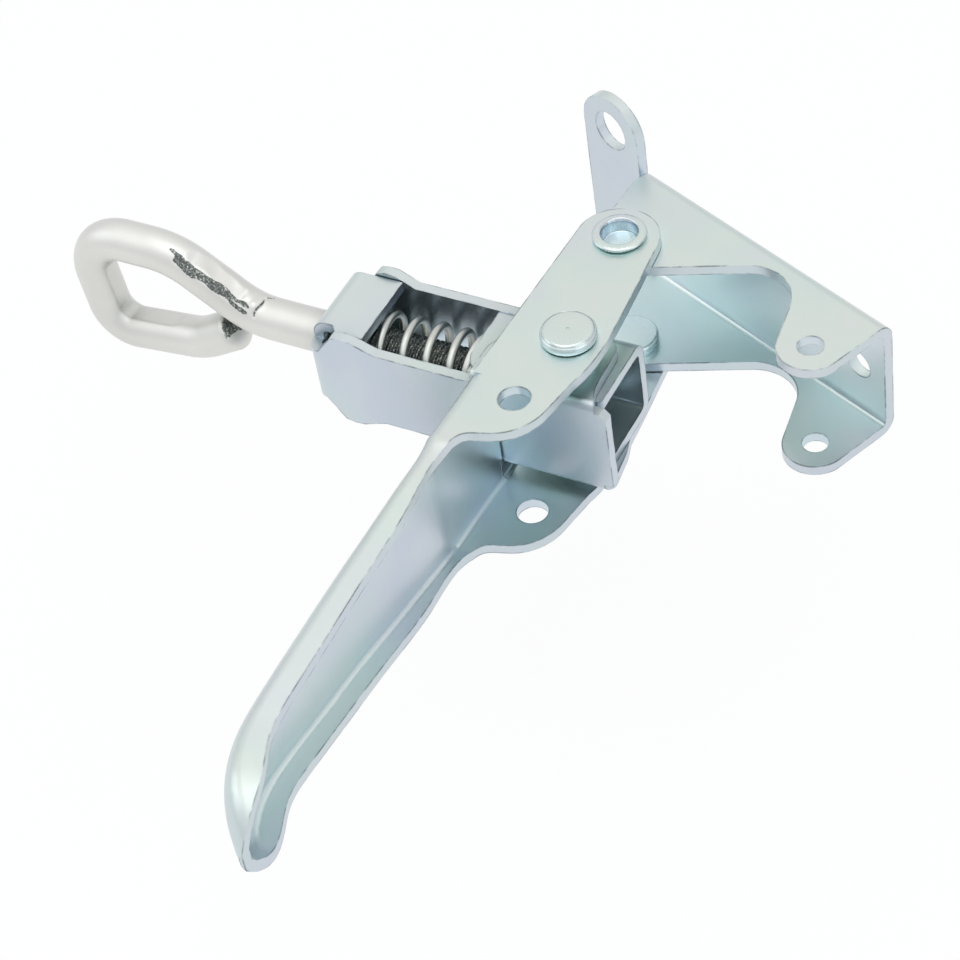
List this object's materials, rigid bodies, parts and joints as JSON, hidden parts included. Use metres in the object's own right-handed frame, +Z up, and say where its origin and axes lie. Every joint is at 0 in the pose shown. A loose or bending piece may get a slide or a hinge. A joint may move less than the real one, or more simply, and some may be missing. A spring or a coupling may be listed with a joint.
{
  "type": "trailer spring hasp",
  "caption": "Over-centre trailer spring hasp: folded mounting bracket, pivoting lever handle, sprung eye bolt in a folded housing, locking holes.",
  "frame": {"origin": "on the bracket's mounting face, in line with the handle pivot", "axes": "+X along the bracket from the pivot end to the locking lug, +Y into the panel, +Z up along the pivot pins"},
  "size_m": [0.2023, 0.2155, 0.0635],
  "materials": {
    "zinc_sheet": "bright zinc plate",
    "zinc_rivet": "bright zinc plate",
    "spring_wire": "zinc-plated wire",
    "plated_nut": "zinc plate",
    "zinc_rod": "zinc-plated bent rod"
  },
  "bodies": {
    "bracket": {"mounting_bracket": "zinc_sheet", "handle_pivot_rivet_upper": "zinc_rivet", "handle_pivot_rivet_lower": "zinc_rivet"},
    "lever": {"handle_lever": "zinc_sheet"},
    "housing": {"spring_housing": "zinc_sheet", "housing_pivot_rivet_upper": "zinc_rivet", "housing_pivot_rivet_lower": "zinc_rivet", "compression_spring": "spring_wire"},
    "carriage": {"adjusting_nut": "plated_nut", "spring_seat": "plated_nut"},
    "eye": {"eye_bolt": "zinc_rod"}
  },
  "joints": [
    {"name": "handle_pivot", "type": "hinge", "parent": "bracket", "child": "lever", "pos_m": [0, -0.02725, 0], "axis": [0, 0, 1], "range_deg": [0, 72.4]},
    {"name": "housing_pivot", "type": "hinge", "parent": "lever", "child": "housing", "pos_m": [0.01934, -0.06226, 0], "axis": [0, 0, 1], "range_deg": [-95.6, 0]},
    {"name": "bolt_slide", "type": "slide", "parent": "housing", "child": "carriage", "axis": [-0.9195, -0.3931, 0], "range_m": [0, 0.012], "stiffness_N_per_m": 12000, "deforming": ["compression_spring"]},
    {"name": "eye_turn", "type": "hinge", "parent": "carriage", "child": "eye", "pos_m": [0.01934, -0.06226, 0], "axis": [-0.9195, -0.3931, 0], "range_deg": [-180, 180]}
  ],
  "couplings": [
    {"joint": "housing_pivot", "follows": "handle_pivot", "ratio": -1.32}
  ]
}
